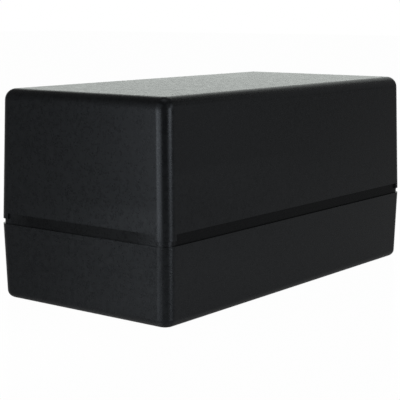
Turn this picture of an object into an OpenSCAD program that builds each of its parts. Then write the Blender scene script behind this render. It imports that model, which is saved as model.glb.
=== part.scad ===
// Two-part moulded project box: a shallow base, a deep cover and the four screws that hold them.
// Long side along X, short side along Y, base down, origin at the middle of the underside.

/* [Case] */
// Length of the case at the parting line
case_l = 120; // [100:1:200]
// Width of the case at the parting line
case_w = 60; // [56:1:140]
// Height of the closed case
case_h = 58; // [52:1:100]
// Height of the base's outer wall
base_h = 21; // [18:0.5:26]
// Thickness of walls, floor and ceiling
wall = 2.5; // [2.3:0.1:3]
// Outer radius of the upright corners
corner_r = 3.4; // [2.8:0.1:5]
// Radius of the cover's top edges
top_r = 3.2; // [1.5:0.1:5]
// Radius of the base's bottom edges
foot_r = 2.2; // [1:0.1:5]
// Inner radius of the upright corners
inner_r = 0.8; // [0.5:0.1:1.5]
// Lean of the walls away from the parting line, in degrees
draft = 1.5; // [0.5:0.1:2]

/* [Seam] */
// Height of the shadow gap between the two outer walls
gap_h = 1.4; // [0.8:0.1:2]
// Depth of the shadow gap and of the reliefs above it
gap_d = 0.5; // [0.3:0.05:0.6]
// Height of the reliefs cut into the cover's flat sides above the gap
relief_h = 1.6; // [0.8:0.1:3]
// Distance from a relief's end to the face around the corner
relief_end = 3.8; // [2:0.1:8]
// Height of the base's tongue above the parting line
tongue_h = 2.5; // [1.5:0.1:4]
// Thickness of the base's tongue
tongue_t = 1.1; // [0.8:0.05:1.2]
// Clearance around the tongue in the cover
fit = 0.15; // [0.1:0.05:0.3]

/* [Screw pillars] */
// Distance from the case's faces to the screw axes
screw_inset = 8.5; // [8:0.1:12]
// Outside diameter of the pillars
pillar_d = 8; // [7.6:0.1:9]
// Thickness of the webs that tie the pillars to the walls
web_t = 1.6; // [1:0.1:2.4]
// Play between a base pillar and the cover pillar above it
pillar_gap = 0.3; // [0.1:0.05:0.6]
// Diameter of the deep bore that the screw head goes up
head_bore_d = 6; // [5.8:0.1:6.2]
// Thickness of plastic under the screw head
seat_t = 3; // [2:0.1:5]
// Diameter of the hole that clears the screw's thread
clear_d = 3.2; // [3:0.1:3.6]
// Free depth of the pilot bore past the screw's tip
tip_room = 1; // [0.5:0.1:3]

/* [Screws] */
// Diameter of the screw head
head_d = 5.5; // [5:0.1:5.6]
// Height of the screw head
head_h = 2; // [1.6:0.1:2.4]
// Bevel around the top of the screw head
head_bevel = 0.5; // [0.2:0.1:0.8]
// Core diameter of the self-tapping screw
core_d = 2.3; // [2:0.1:2.6]
// Length of the screw under its head
screw_l = 12; // [8:0.5:16]
// Length of the screw's tapered tip
tip_l = 2.4; // [1.5:0.1:3]
// Diameter at the end of the tip
tip_d = 0.5; // [0.3:0.1:1]
// Radial play of the core in its pilot bore
pilot_play = 0.05; // [0.02:0.01:0.1]
// Width of the cross drive's slots
drive_t = 0.9; // [0.6:0.05:1.1]
// Length of the cross drive's slots
drive_l = 3.2; // [2.6:0.1:3.6]
// Depth of the cross drive
drive_h = 1.1; // [0.8:0.1:1.4]

/* [Board mounting] */
// Distance from the case's ends to the board standoffs
standoff_in_x = 20; // [19:0.5:40]
// Distance from the case's long sides to the board standoffs
standoff_in_y = 12; // [10:0.5:20]
// Height of the standoffs above the floor
standoff_h = 5; // [3:0.5:8]
// Outside diameter of the standoffs
standoff_d = 6; // [5:0.1:7]
// Diameter of the pilot bores in the standoffs
standoff_bore_d = 2.4; // [2:0.1:3]
// Plastic left under the standoffs' pilot bores
bore_floor = 1.5; // [1:0.1:2]
// Distance from the middle to the card guides
guide_x = 24; // [10:1:28]
// Width of the slot between the two ribs of a guide
guide_slot = 1.8; // [1.2:0.1:2.4]
// Thickness of a guide rib
guide_t = 1.2; // [0.8:0.1:1.6]
// Depth of a guide rib at the parting line
guide_d = 2.5; // [1.5:0.1:3]

/* [Hidden] */
// Facets of bores and pillars, and of the corners of a hull
$fn = 48;
hull_fn = 32;
// Height of the thin discs that set a hull's outline at one level
disc_h = 0.01;
// Depth by which joined shapes run into each other and cuts run past a face
lap = 0.6;
black = [0.10, 0.10, 0.11];
zinc = [0.72, 0.73, 0.74];

lean = tan(draft);
part_z = base_h + gap_h;
tongue_z = part_z + tongue_h;
lip_t = wall - tongue_t - fit;
half_l = case_l / 2;
half_w = case_w / 2;
screw_x = half_l - screw_inset;
screw_y = half_w - screw_inset;
pillar_z = part_z - pillar_gap;
seat_z = pillar_z - seat_t;
pilot_d = core_d + 2 * pilot_play;
pilot_z = seat_z + screw_l + tip_room;
standoff_x = half_l - standoff_in_x;
standoff_y = half_w - standoff_in_y;

// Places its children at the four corners of a rectangle with half sides x and y
module at_corners(x, y) {
  for (sx = [-1, 1], sy = [-1, 1]) translate([sx * x, sy * y, 0]) children();
}

// Turns a shape that stands on the parting line upside down, to hang below height z
module hang_from(z) {
  translate([0, 0, z]) mirror([0, 0, 1]) children();
}

// A button whose quarter-round edge, of radius r, rounds one corner of a block
module corner_button(r) {
  core_r = max(corner_r - r, 0);
  rotate_extrude($fn = hull_fn) {
    translate([core_r, 0]) intersection() {
      circle(r = r, $fn = hull_fn);
      square(r);
    }
    if (core_r > 0) square([core_r, r]);
  }
}

// A solid block as large as the case at z = 0, leaning in to z = h, where its edges have radius r
module leaning_block(h, r) {
  side_h = h - r;
  step_in = max(corner_r, r) + lean * side_h;
  hull() {
    at_corners(half_l - corner_r, half_w - corner_r)
      cylinder(r = corner_r, h = disc_h, $fn = hull_fn);
    at_corners(half_l - step_in, half_w - step_in)
      translate([0, 0, side_h]) corner_button(r);
  }
}

// The hollow of one half: upright for rim_h below z = 0, then leaning in up to z = h
module leaning_hollow(h, rim_h) {
  x = half_l - wall - inner_r;
  y = half_w - wall - inner_r;
  step_in = lean * h;
  hull() {
    at_corners(x, y)
      translate([0, 0, -rim_h]) cylinder(r = inner_r, h = rim_h, $fn = hull_fn);
    at_corners(x - step_in, y - step_in)
      translate([0, 0, h - disc_h]) cylinder(r = inner_r, h = disc_h, $fn = hull_fn);
  }
}

// The case's outline at the parting line, moved inwards by inset
module outline(inset) {
  l = case_l - 2 * inset;
  w = case_w - 2 * inset;
  r = max(corner_r - inset, inner_r);
  square([l - 2 * r, w], center = true);
  square([l, w - 2 * r], center = true);
  at_corners(l / 2 - r, w / 2 - r) circle(r = r);
}

// An upright plate in the case's outline moved inwards by inset, from height z0 to z1
module rim_plate(inset, z0, z1) {
  translate([0, 0, z0]) linear_extrude(height = z1 - z0) outline(inset);
}

// A pillar at each screw with webs to the two walls beside it, from height z0 to z1
module pillars(z0, z1) {
  for (sx = [-1, 1], sy = [-1, 1]) translate([sx * screw_x, sy * screw_y, z0]) {
    cylinder(d = pillar_d, h = z1 - z0);
    translate([sx * screw_inset / 2, 0, (z1 - z0) / 2])
      cube([screw_inset, web_t, z1 - z0], center = true);
    translate([0, sy * screw_inset / 2, (z1 - z0) / 2])
      cube([web_t, screw_inset, z1 - z0], center = true);
  }
}

// Pairs of ribs on the long walls that hold the edges of an upright board
module guide_ribs(z0, z1) {
  depth = wall + guide_d;
  for (sx = [-1, 1], sy = [-1, 1], side = [-1, 1]) {
    x = sx * guide_x + side * (guide_slot + guide_t) / 2;
    translate([x, sy * (half_w - depth / 2), (z0 + z1) / 2])
      cube([guide_t, depth, z1 - z0], center = true);
  }
}

// Posts on the floor that a board is screwed to
module standoffs() {
  at_corners(standoff_x, standoff_y) cylinder(d = standoff_d, h = wall + standoff_h);
}

// Shallow half, with the neck that backs the shadow gap and the tongue that enters the cover
module base() {
  color(black) difference() {
    union() {
      hang_from(base_h) leaning_block(base_h, foot_r);
      rim_plate(gap_d, base_h - lap, part_z);
      rim_plate(wall - tongue_t, part_z - lap, tongue_z);
    }
    difference() {
      hang_from(base_h) leaning_hollow(base_h - wall, tongue_z - base_h + lap);
      pillars(0, pillar_z);
      guide_ribs(0, base_h);
      standoffs();
    }
    at_corners(screw_x, screw_y) {
      translate([0, 0, -lap]) cylinder(d = head_bore_d, h = seat_z + lap);
      cylinder(d = clear_d, h = part_z);
    }
    at_corners(standoff_x, standoff_y)
      translate([0, 0, bore_floor]) cylinder(d = standoff_bore_d, h = wall + standoff_h);
  }
}

// What is cut from the cover's flat sides above the shadow gap, stopping short of the corners
module reliefs() {
  h = relief_h + lap;
  for (side = [-1, 1]) translate([0, 0, part_z + h / 2 - lap]) {
    translate([0, side * half_w, 0])
      cube([case_l - 2 * relief_end, 2 * gap_d, h], center = true);
    translate([side * half_l, 0, 0])
      cube([2 * gap_d, case_w - 2 * relief_end, h], center = true);
  }
}

// The channel inside the cover's rim that takes the base's tongue
module tongue_channel() {
  difference() {
    rim_plate(lip_t, part_z - lap, tongue_z + fit);
    rim_plate(wall + fit, part_z - 2 * lap, tongue_z + lap);
  }
}

// Deep half, with blind pilot bores for the screws in its pillars
module cover() {
  color(black) difference() {
    translate([0, 0, part_z]) leaning_block(case_h - part_z, top_r);
    difference() {
      translate([0, 0, part_z]) leaning_hollow(case_h - part_z - wall, lap);
      pillars(part_z, case_h);
      guide_ribs(tongue_z + fit, case_h);
    }
    tongue_channel();
    reliefs();
    at_corners(screw_x, screw_y)
      translate([0, 0, part_z - lap]) cylinder(d = pilot_d, h = pilot_z - part_z + lap);
  }
}

// A self-tapping screw, head down, with the underside of its head at z = 0
module screw() {
  head_r = head_d / 2;
  difference() {
    union() {
      cylinder(d = core_d, h = screw_l - tip_l);
      translate([0, 0, screw_l - tip_l]) cylinder(d1 = core_d, d2 = tip_d, h = tip_l);
      translate([0, 0, head_bevel - head_h]) cylinder(r = head_r, h = head_h - head_bevel);
      translate([0, 0, -head_h]) cylinder(r1 = head_r - head_bevel, r2 = head_r, h = head_bevel);
    }
    for (turn = [0, 90]) rotate(turn) translate([0, 0, drive_h / 2 - head_h])
      cube([drive_l, drive_t, drive_h], center = true);
  }
}

// The four screws, up their bores in the base
module screws() {
  color(zinc) at_corners(screw_x, screw_y) translate([0, 0, seat_z]) screw();
}

base();
cover();
screws();
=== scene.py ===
import math

import bmesh
import bpy
import numpy as np
from mathutils import Matrix, Vector


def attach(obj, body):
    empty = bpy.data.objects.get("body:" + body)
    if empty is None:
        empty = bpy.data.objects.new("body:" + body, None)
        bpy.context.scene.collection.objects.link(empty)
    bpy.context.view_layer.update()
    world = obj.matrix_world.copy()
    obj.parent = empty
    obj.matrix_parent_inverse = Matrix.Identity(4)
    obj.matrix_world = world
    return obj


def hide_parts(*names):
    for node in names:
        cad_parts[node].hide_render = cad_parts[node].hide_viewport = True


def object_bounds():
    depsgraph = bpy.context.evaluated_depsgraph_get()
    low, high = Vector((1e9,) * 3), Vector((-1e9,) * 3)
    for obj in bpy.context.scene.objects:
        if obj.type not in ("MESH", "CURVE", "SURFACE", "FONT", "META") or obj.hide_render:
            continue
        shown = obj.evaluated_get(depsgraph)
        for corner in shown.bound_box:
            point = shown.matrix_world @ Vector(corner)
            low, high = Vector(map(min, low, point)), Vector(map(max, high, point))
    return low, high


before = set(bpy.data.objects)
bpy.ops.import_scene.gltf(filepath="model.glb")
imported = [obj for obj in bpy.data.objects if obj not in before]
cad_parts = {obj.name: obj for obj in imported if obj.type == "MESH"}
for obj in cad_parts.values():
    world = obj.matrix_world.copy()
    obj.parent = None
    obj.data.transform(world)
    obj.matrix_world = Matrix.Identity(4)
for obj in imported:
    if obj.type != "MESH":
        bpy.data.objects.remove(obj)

bpy.context.view_layer.update()
cad_low, cad_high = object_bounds()
MM = 0.001


# ---- Base -------------------------------------------------------------------------------
# The shallow half is one moulding in black ABS. The tool's spark-eroded finish leaves a fine
# even grain on every face, and each rim edge comes out of the mould very slightly rounded.

half_length = cad_high.x
half_width = cad_high.y
wall_top = 21 * MM
gap_height = 1.4 * MM
gap_depth = 0.5 * MM
parting_line = wall_top + gap_height
relief_height = 1.6 * MM
relief_top = parting_line + relief_height
relief_end = 3.8 * MM


class Wire:
    """An output socket of a node tree. Arithmetic on it adds Math nodes to the same tree."""

    def __init__(self, tree, socket=None):
        self.tree = tree
        self.socket = socket

    def add(self, kind, settings=None, inputs=None, output=0):
        """Adds a node: its settings come first, then the values or wires of its sockets."""
        node = self.tree.nodes.new(kind)
        for name, value in (settings or {}).items():
            setattr(node, name, value)
        for name, value in (inputs or {}).items():
            if isinstance(value, Wire):
                self.tree.links.new(value.socket, node.inputs[name])
            else:
                node.inputs[name].default_value = value
        return Wire(self.tree, node.outputs[output] if node.outputs else None)

    def split(self):
        """The X, Y and Z of a vector."""
        node = self.add("ShaderNodeSeparateXYZ", inputs={"Vector": self}).socket.node
        return [Wire(self.tree, socket) for socket in node.outputs]

    def maths(self, operation, first, second=0.0):
        return self.add("ShaderNodeMath", {"operation": operation}, {0: first, 1: second})

    def lower_of(self, other):
        return self.maths("MINIMUM", self, other)

    def higher_of(self, other):
        return self.maths("MAXIMUM", self, other)

    def __abs__(self):
        return self.maths("ABSOLUTE", self)

    def __gt__(self, other):
        return self.maths("GREATER_THAN", self, other)

    def __lt__(self, other):
        return self.maths("LESS_THAN", self, other)

    def __add__(self, other):
        return self.maths("ADD", self, other)

    def __radd__(self, other):
        return self.maths("ADD", other, self)

    def __sub__(self, other):
        return self.maths("SUBTRACT", self, other)

    def __rsub__(self, other):
        return self.maths("SUBTRACT", other, self)

    def __mul__(self, other):
        return self.maths("MULTIPLY", self, other)

    def __rmul__(self, other):
        return self.maths("MULTIPLY", other, self)


def new_material(name):
    """An empty node material, and a wire that its nodes are added from."""
    material = bpy.data.materials.new(name)
    material.use_nodes = True
    material.node_tree.nodes.clear()
    return material, Wire(material.node_tree)


def painted_seam_shade(place):
    """How much painted shade darkens the plastic: 0 on the walls, 1 in the middle of the seam's band.

    The band is the shadow gap between the halves and the reliefs above it. It lies within a
    range of heights and a range of depths behind the walls' faces and, above the parting line,
    clear of the corners. It fades towards the corners, slowly on the ends, fast on the sides.
    """
    margin = 0.05 * MM
    depth_margin = 0.3 * MM
    end_fade = 9 * MM
    end_clear = 3 * MM
    side_fade = 2 * MM
    side_clear = 2.5 * MM
    least_strength = 0.1
    x, y, z = place.split()
    x = abs(x)
    y = abs(y)
    depth = (half_length - x).lower_of(half_width - y)
    from_corner = relief_end - margin
    clear_of_corner = (half_length - from_corner - x).higher_of(half_width - from_corner - y)
    free = clear_of_corner.higher_of(parting_line - z)
    along_end = (half_width - end_clear - y) * (1 / end_fade)
    along_side = (half_length - side_clear - x) * (1 / side_fade)
    strength = along_end.higher_of(along_side).higher_of(least_strength).lower_of(1.0)
    return ((depth > gap_depth - depth_margin) * (depth < gap_depth + depth_margin) * (free > 0.0)
            * (z > wall_top - margin) * (z < relief_top + margin) * strength)


def spark_eroded_abs():
    """Black ABS with the fine grain of a spark-eroded mould, with painted shade in the seam's sunken
    band.
    """
    grain_size = 0.6 * MM
    pit_size = 1.4 * MM
    grain_depth = 0.03 * MM
    material, tree = new_material("spark_eroded_abs")
    place = tree.add("ShaderNodeTexCoord", output="Object")
    grain = tree.add("ShaderNodeTexNoise", inputs={
        "Vector": place, "Scale": 1 / grain_size, "Detail": 2.0, "Roughness": 0.6})
    pits = tree.add("ShaderNodeTexNoise", inputs={
        "Vector": place, "Scale": 1 / pit_size, "Detail": 3.0, "Roughness": 0.7})
    relief = tree.add("ShaderNodeBump", inputs={
        "Strength": 0.25, "Distance": grain_depth, "Height": grain * 0.8 + pits * 0.8})
    tint = tree.add("ShaderNodeMix", {"data_type": "RGBA"}, {
        "Factor": pits, 6: (0.0000, 0.0002, 0.0004, 1), 7: (0.0088, 0.0094, 0.0100, 1)}, output=2)
    shiny = tree.add("ShaderNodeBsdfPrincipled", inputs={
        "Base Color": tint, "Roughness": 0.12 + 0.16 * grain + 0.18 * pits, "IOR": 1.5,
        "Specular IOR Level": 0.22, "Specular Tint": (0.82, 0.90, 1.0, 1), "Normal": relief})
    # Painted shade: a near-black matt diffuse, mixed in at up to 0.55 over the shadow gap and reliefs,
    # darkens them as if shaded.
    painted_shade = tree.add("ShaderNodeBsdfDiffuse", inputs={"Color": (0.003, 0.003, 0.003, 1)})
    skin = tree.add("ShaderNodeMixShader", inputs={0: 0.55 * painted_seam_shade(place), 1: shiny, 2: painted_shade})
    tree.add("ShaderNodeOutputMaterial", inputs={"Surface": skin})
    return material


def moulded_shell(node, name, material):
    """A copy of a moulded half, merged into one skin, whose sharp edges are rounded over."""
    edge_radius = 0.12 * MM
    merge_distance = 0.002 * MM
    flat_angle = math.radians(0.3)
    sharp_angle = math.radians(35)
    copy = bmesh.new()
    copy.from_mesh(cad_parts[node].data)
    bmesh.ops.remove_doubles(copy, verts=copy.verts, dist=merge_distance)
    bmesh.ops.dissolve_limit(copy, angle_limit=flat_angle, verts=copy.verts, edges=copy.edges)
    for face in copy.faces:
        face.smooth = True
    mesh = bpy.data.meshes.new(name)
    copy.to_mesh(mesh)
    copy.free()
    mesh.materials.clear()
    mesh.materials.append(material)
    shell = bpy.data.objects.new(name, mesh)
    bpy.context.scene.collection.objects.link(shell)
    rounding = shell.modifiers.new("edge rounding", "BEVEL")
    rounding.width = edge_radius
    rounding.segments = 2
    rounding.limit_method = "ANGLE"
    rounding.angle_limit = sharp_angle
    rounding.harden_normals = True
    flats = shell.modifiers.new("flat faces stay flat", "WEIGHTED_NORMAL")
    flats.keep_sharp = True
    return shell


abs_black = spark_eroded_abs()
base_shell = moulded_shell("base", "base_shell", abs_black)
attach(base_shell, "base")
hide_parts("base")


# ---- Screws -----------------------------------------------------------------------------
# Four self-tapping screws of zinc-plated steel come up through the base's deep bores. Their
# rolled thread runs from under the head to the tip and cuts its own way into the cover.

screw_inset = 8.5 * MM
screw_length = 12 * MM
pillar_gap = 0.3 * MM
seat_thickness = 3 * MM
head_seat = parting_line - pillar_gap - seat_thickness


def zinc_plate():
    """Bright zinc on steel, faintly mottled, with fine shallow marks all over."""
    mottle_size = 0.6 * MM
    mark_size = 0.12 * MM
    mark_depth = 0.01 * MM
    material, tree = new_material("zinc_plate")
    place = tree.add("ShaderNodeTexCoord", output="Object")
    mottle = tree.add("ShaderNodeTexNoise", inputs={
        "Vector": place, "Scale": 1 / mottle_size, "Detail": 3.0})
    marks = tree.add("ShaderNodeTexNoise", inputs={
        "Vector": place, "Scale": 1 / mark_size, "Detail": 1.0})
    relief = tree.add("ShaderNodeBump", inputs={
        "Strength": 0.2, "Distance": mark_depth, "Height": marks})
    tint = tree.add("ShaderNodeMix", {"data_type": "RGBA"}, {
        "Factor": mottle, 6: (0.60, 0.61, 0.63, 1), 7: (0.70, 0.71, 0.71, 1)}, output=2)
    shader = tree.add("ShaderNodeBsdfPrincipled", inputs={
        "Base Color": tint, "Metallic": 1.0, "Roughness": 0.20 + 0.22 * mottle,
        "Normal": relief})
    tree.add("ShaderNodeOutputMaterial", inputs={"Surface": shader})
    return material


def rolled_thread(axes, low, high):
    """Threaded cores on upright axes, from the head's seat to the tip, as corners and faces.

    At each height the radius is the core's, plus the thread's depth times a ridge. The ridge
    falls in straight lines from 1 on the helix to 0 at 0.3 of a pitch above and below it. The
    core narrows over the tip's length, and the thread fades out there and under the head. The
    core is a hair wider than the plain one of the solid screw, which it hides.
    """
    pitch = 1.06 * MM
    core = 1.16 * MM
    thread_depth = 0.33 * MM
    tip_length = 2.4 * MM
    tip_share = 0.22
    ridge_reach = 0.3
    rows = 200
    columns = 28
    z, turn = np.meshgrid(np.linspace(low, high, rows), np.arange(columns) / columns, indexing="ij")
    ridge = np.clip(1 - np.abs((z / pitch - turn) % 1 - 0.5) / ridge_reach, 0, 1)
    to_tip = np.clip((high - z) / tip_length, 0, 1)
    from_head = np.clip((z - low) / pitch, 0, 1)
    radius = (core * (tip_share + (1 - tip_share) * to_tip)
              + thread_depth * ridge * from_head * np.sqrt(to_tip))
    ring = np.stack([radius * np.cos(math.tau * turn), radius * np.sin(math.tau * turn), z], 2)
    corners = np.concatenate([ring.reshape(-1, 3) + (x, y, 0) for x, y in axes])
    near = np.arange(columns)
    far = (near + 1) % columns
    row = columns * np.arange(rows - 1)[:, None]
    above = row + columns
    sides = np.stack([near + row, far + row, far + above, near + above], 2).reshape(-1, 4)
    ends = np.stack([near[::-1], near + (rows - 1) * columns])
    faces = []
    for first in range(0, len(corners), rows * columns):
        faces += (sides + first).tolist() + (ends + first).tolist()
    return corners.tolist(), faces


zinc = zinc_plate()
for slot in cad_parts["screws"].material_slots:
    slot.material = zinc
screw_axes = [(side_x * (half_length - screw_inset), side_y * (half_width - screw_inset))
              for side_x in (-1, 1) for side_y in (-1, 1)]
thread_corners, thread_faces = rolled_thread(screw_axes, head_seat, head_seat + screw_length)
thread_mesh = bpy.data.meshes.new("screw_threads")
thread_mesh.from_pydata(thread_corners, [], thread_faces)
thread_mesh.shade_smooth()
thread_mesh.materials.append(zinc)
screw_threads = bpy.data.objects.new("screw_threads", thread_mesh)
bpy.context.scene.collection.objects.link(screw_threads)
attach(screw_threads, "base")


# ---- Cover ------------------------------------------------------------------------------
# The deep half is a second moulding in the same black ABS, with the same grain. Its rim stands
# on the base's neck, and the screws from below draw it down.

cover_shell = moulded_shell("cover", "cover_shell", abs_black)
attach(cover_shell, "cover")
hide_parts("cover")


# ---- Studio -----------------------------------------------------------------------------
# The box stands on a white sweep of glossy board. Soft boxes and small strip lamps around it
# light its sides and corners, and two faintly green ones behind it show in its top face.

middle = (cad_low + cad_high) / 2
camera_azimuth = math.radians(-53.15)
camera_elevation = math.radians(8.03)
camera_roll = math.radians(0.0225)
camera_distance = 0.35937
aim = Vector((-3.542, 3.300, 22.840)) * MM
stand = middle + camera_distance * Vector((
    math.sin(camera_azimuth) * math.cos(camera_elevation),
    -math.cos(camera_azimuth) * math.cos(camera_elevation),
    math.sin(camera_elevation)))
forward = (aim - stand).normalized()
right = Matrix.Rotation(-camera_roll, 3, forward) @ forward.cross(Vector((0, 0, 1))).normalized()
up = right.cross(forward)
camera = bpy.data.objects.new("camera", bpy.data.cameras.new("camera"))
bpy.context.scene.collection.objects.link(camera)
camera.matrix_world = Matrix.Translation(stand) @ Matrix((right, up, -forward)).transposed().to_4x4()
camera.data.lens = 108.2
camera.data.clip_start = 0.01
camera.data.clip_end = 10
bpy.context.scene.camera = camera


def soft_box(name, azimuth, elevation, reach, width, height, brightness, colour=(1, 1, 1)):
    """A rectangular lamp of even brightness that faces the box. Azimuth runs from +X to +Y."""
    lamp = bpy.data.lights.new(name, "AREA")
    lamp.color = colour
    lamp.shape = "RECTANGLE"
    lamp.size = width
    lamp.size_y = height
    lamp.energy = brightness * math.pi * width * height
    box = bpy.data.objects.new(name, lamp)
    around = math.radians(azimuth)
    rise = math.radians(elevation)
    away = Vector((
        math.cos(around) * math.cos(rise), math.sin(around) * math.cos(rise), math.sin(rise)))
    box.location = middle + away * reach
    box.rotation_mode = "QUATERNION"
    box.rotation_quaternion = away.to_track_quat("Z", "Y")
    box.visible_camera = False
    bpy.context.scene.collection.objects.link(box)
    return box


def table_lamp(name, azimuth, elevation, reach, width, height, brightness):
    """A small soft box that points straight down and brightens the table that the base mirrors."""
    lamp = soft_box(name, azimuth, elevation, reach, width, height, brightness)
    lamp.rotation_quaternion = (1, 0, 0, 0)


def white_for(tree, mirrored):
    """Light Path: 1 where the camera sees the surface, a share of it in mirrors and glass."""
    glossy = tree.add("ShaderNodeLightPath", output="Is Glossy Ray")
    glass = tree.add("ShaderNodeLightPath", output="Is Transmission Ray")
    straight = tree.add("ShaderNodeLightPath", output="Is Camera Ray")
    return glossy.higher_of(glass) * mirrored + straight


back_tint = (0.945, 1.0, 0.955)
soft_box("left_panel", 168, 24, 0.85, 0.85, 0.75, 0.6)
soft_box("left_box", 160, 10, 0.85, 0.30, 0.30, 1.73)
soft_box("left_close_strip", 170, 4, 0.22, 0.06, 0.03, 3.4)
soft_box("left_corner_strip", 188, 4, 0.22, 0.06, 0.03, 3.8)
soft_box("left_floor_strip", 165, 0, 0.50, 0.30, 0.04, 2.8)
soft_box("left_card", 187, -2, 0.12, 0.05, 0.02, 1.46)
soft_box("right_panel", 275, 26, 0.85, 1.00, 0.75, 0.36)
soft_box("right_box", 268, 8, 0.80, 0.30, 0.22, 3.9)
soft_box("right_low_strip", 257, 5, 0.35, 0.14, 0.05, 3.95)
soft_box("right_high_card", 262, 30, 0.14, 0.04, 0.03, 1.68)
soft_box("right_rear_strip", 300, 9, 0.20, 0.10, 0.10, 0.176)
soft_box("right_rear_panel", 325, 20, 0.80, 0.75, 0.45, 0.113)
soft_box("back_low_box", 30, 7, 0.80, 0.80, 0.18, 1.37, back_tint)
soft_box("back_box", 30, 24, 0.80, 0.80, 0.30, 0.68, back_tint)
soft_box("overhead_box", 0, 89, 0.80, 0.40, 0.40, 0.8)
table_lamp("left_table_lamp", 190, 1, 0.086, 0.03, 0.03, 4.9)
table_lamp("right_table_lamp", 249, 9, 0.071, 0.09, 0.04, 0.79)

room_light = 0.10
world = bpy.data.worlds.new("studio")
world.use_nodes = True
world.node_tree.nodes.clear()
room = Wire(world.node_tree)
room_paint = room.add("ShaderNodeBackground", inputs={
    "Color": (1, 1, 1, 1), "Strength": room_light + (1 - room_light) * white_for(room, 0.05)})
room.add("ShaderNodeOutputWorld", inputs={"Surface": room_paint})
bpy.context.scene.world = world


def white_sweep():
    """Glossy grey board that glows white to the camera and faintly in what mirrors it."""
    glow_share = 0.985
    material, tree = new_material("white_sweep")
    board = tree.add("ShaderNodeBsdfPrincipled", inputs={
        "Base Color": (0.5, 0.5, 0.5, 1), "Roughness": 0.1, "IOR": 1.8, "Specular IOR Level": 1.0})
    glow = tree.add("ShaderNodeEmission", inputs={"Color": (1, 1, 1, 1), "Strength": 1.0})
    paint = tree.add("ShaderNodeMixShader", inputs={
        0: white_for(tree, 0.15) * glow_share, 1: board, 2: glow})
    tree.add("ShaderNodeOutputMaterial", inputs={"Surface": paint})
    return material


floor_reach = 3.0
floor_mesh = bpy.data.meshes.new("floor")
floor_corners = [(x * floor_reach, y * floor_reach, 0) for x, y in ((-1, -1), (1, -1), (1, 1), (-1, 1))]
floor_mesh.from_pydata(floor_corners, [], [(0, 1, 2, 3)])
floor_mesh.materials.append(white_sweep())
floor = bpy.data.objects.new("floor", floor_mesh)
bpy.context.scene.collection.objects.link(floor)

bpy.context.scene.view_settings.view_transform = "Standard"
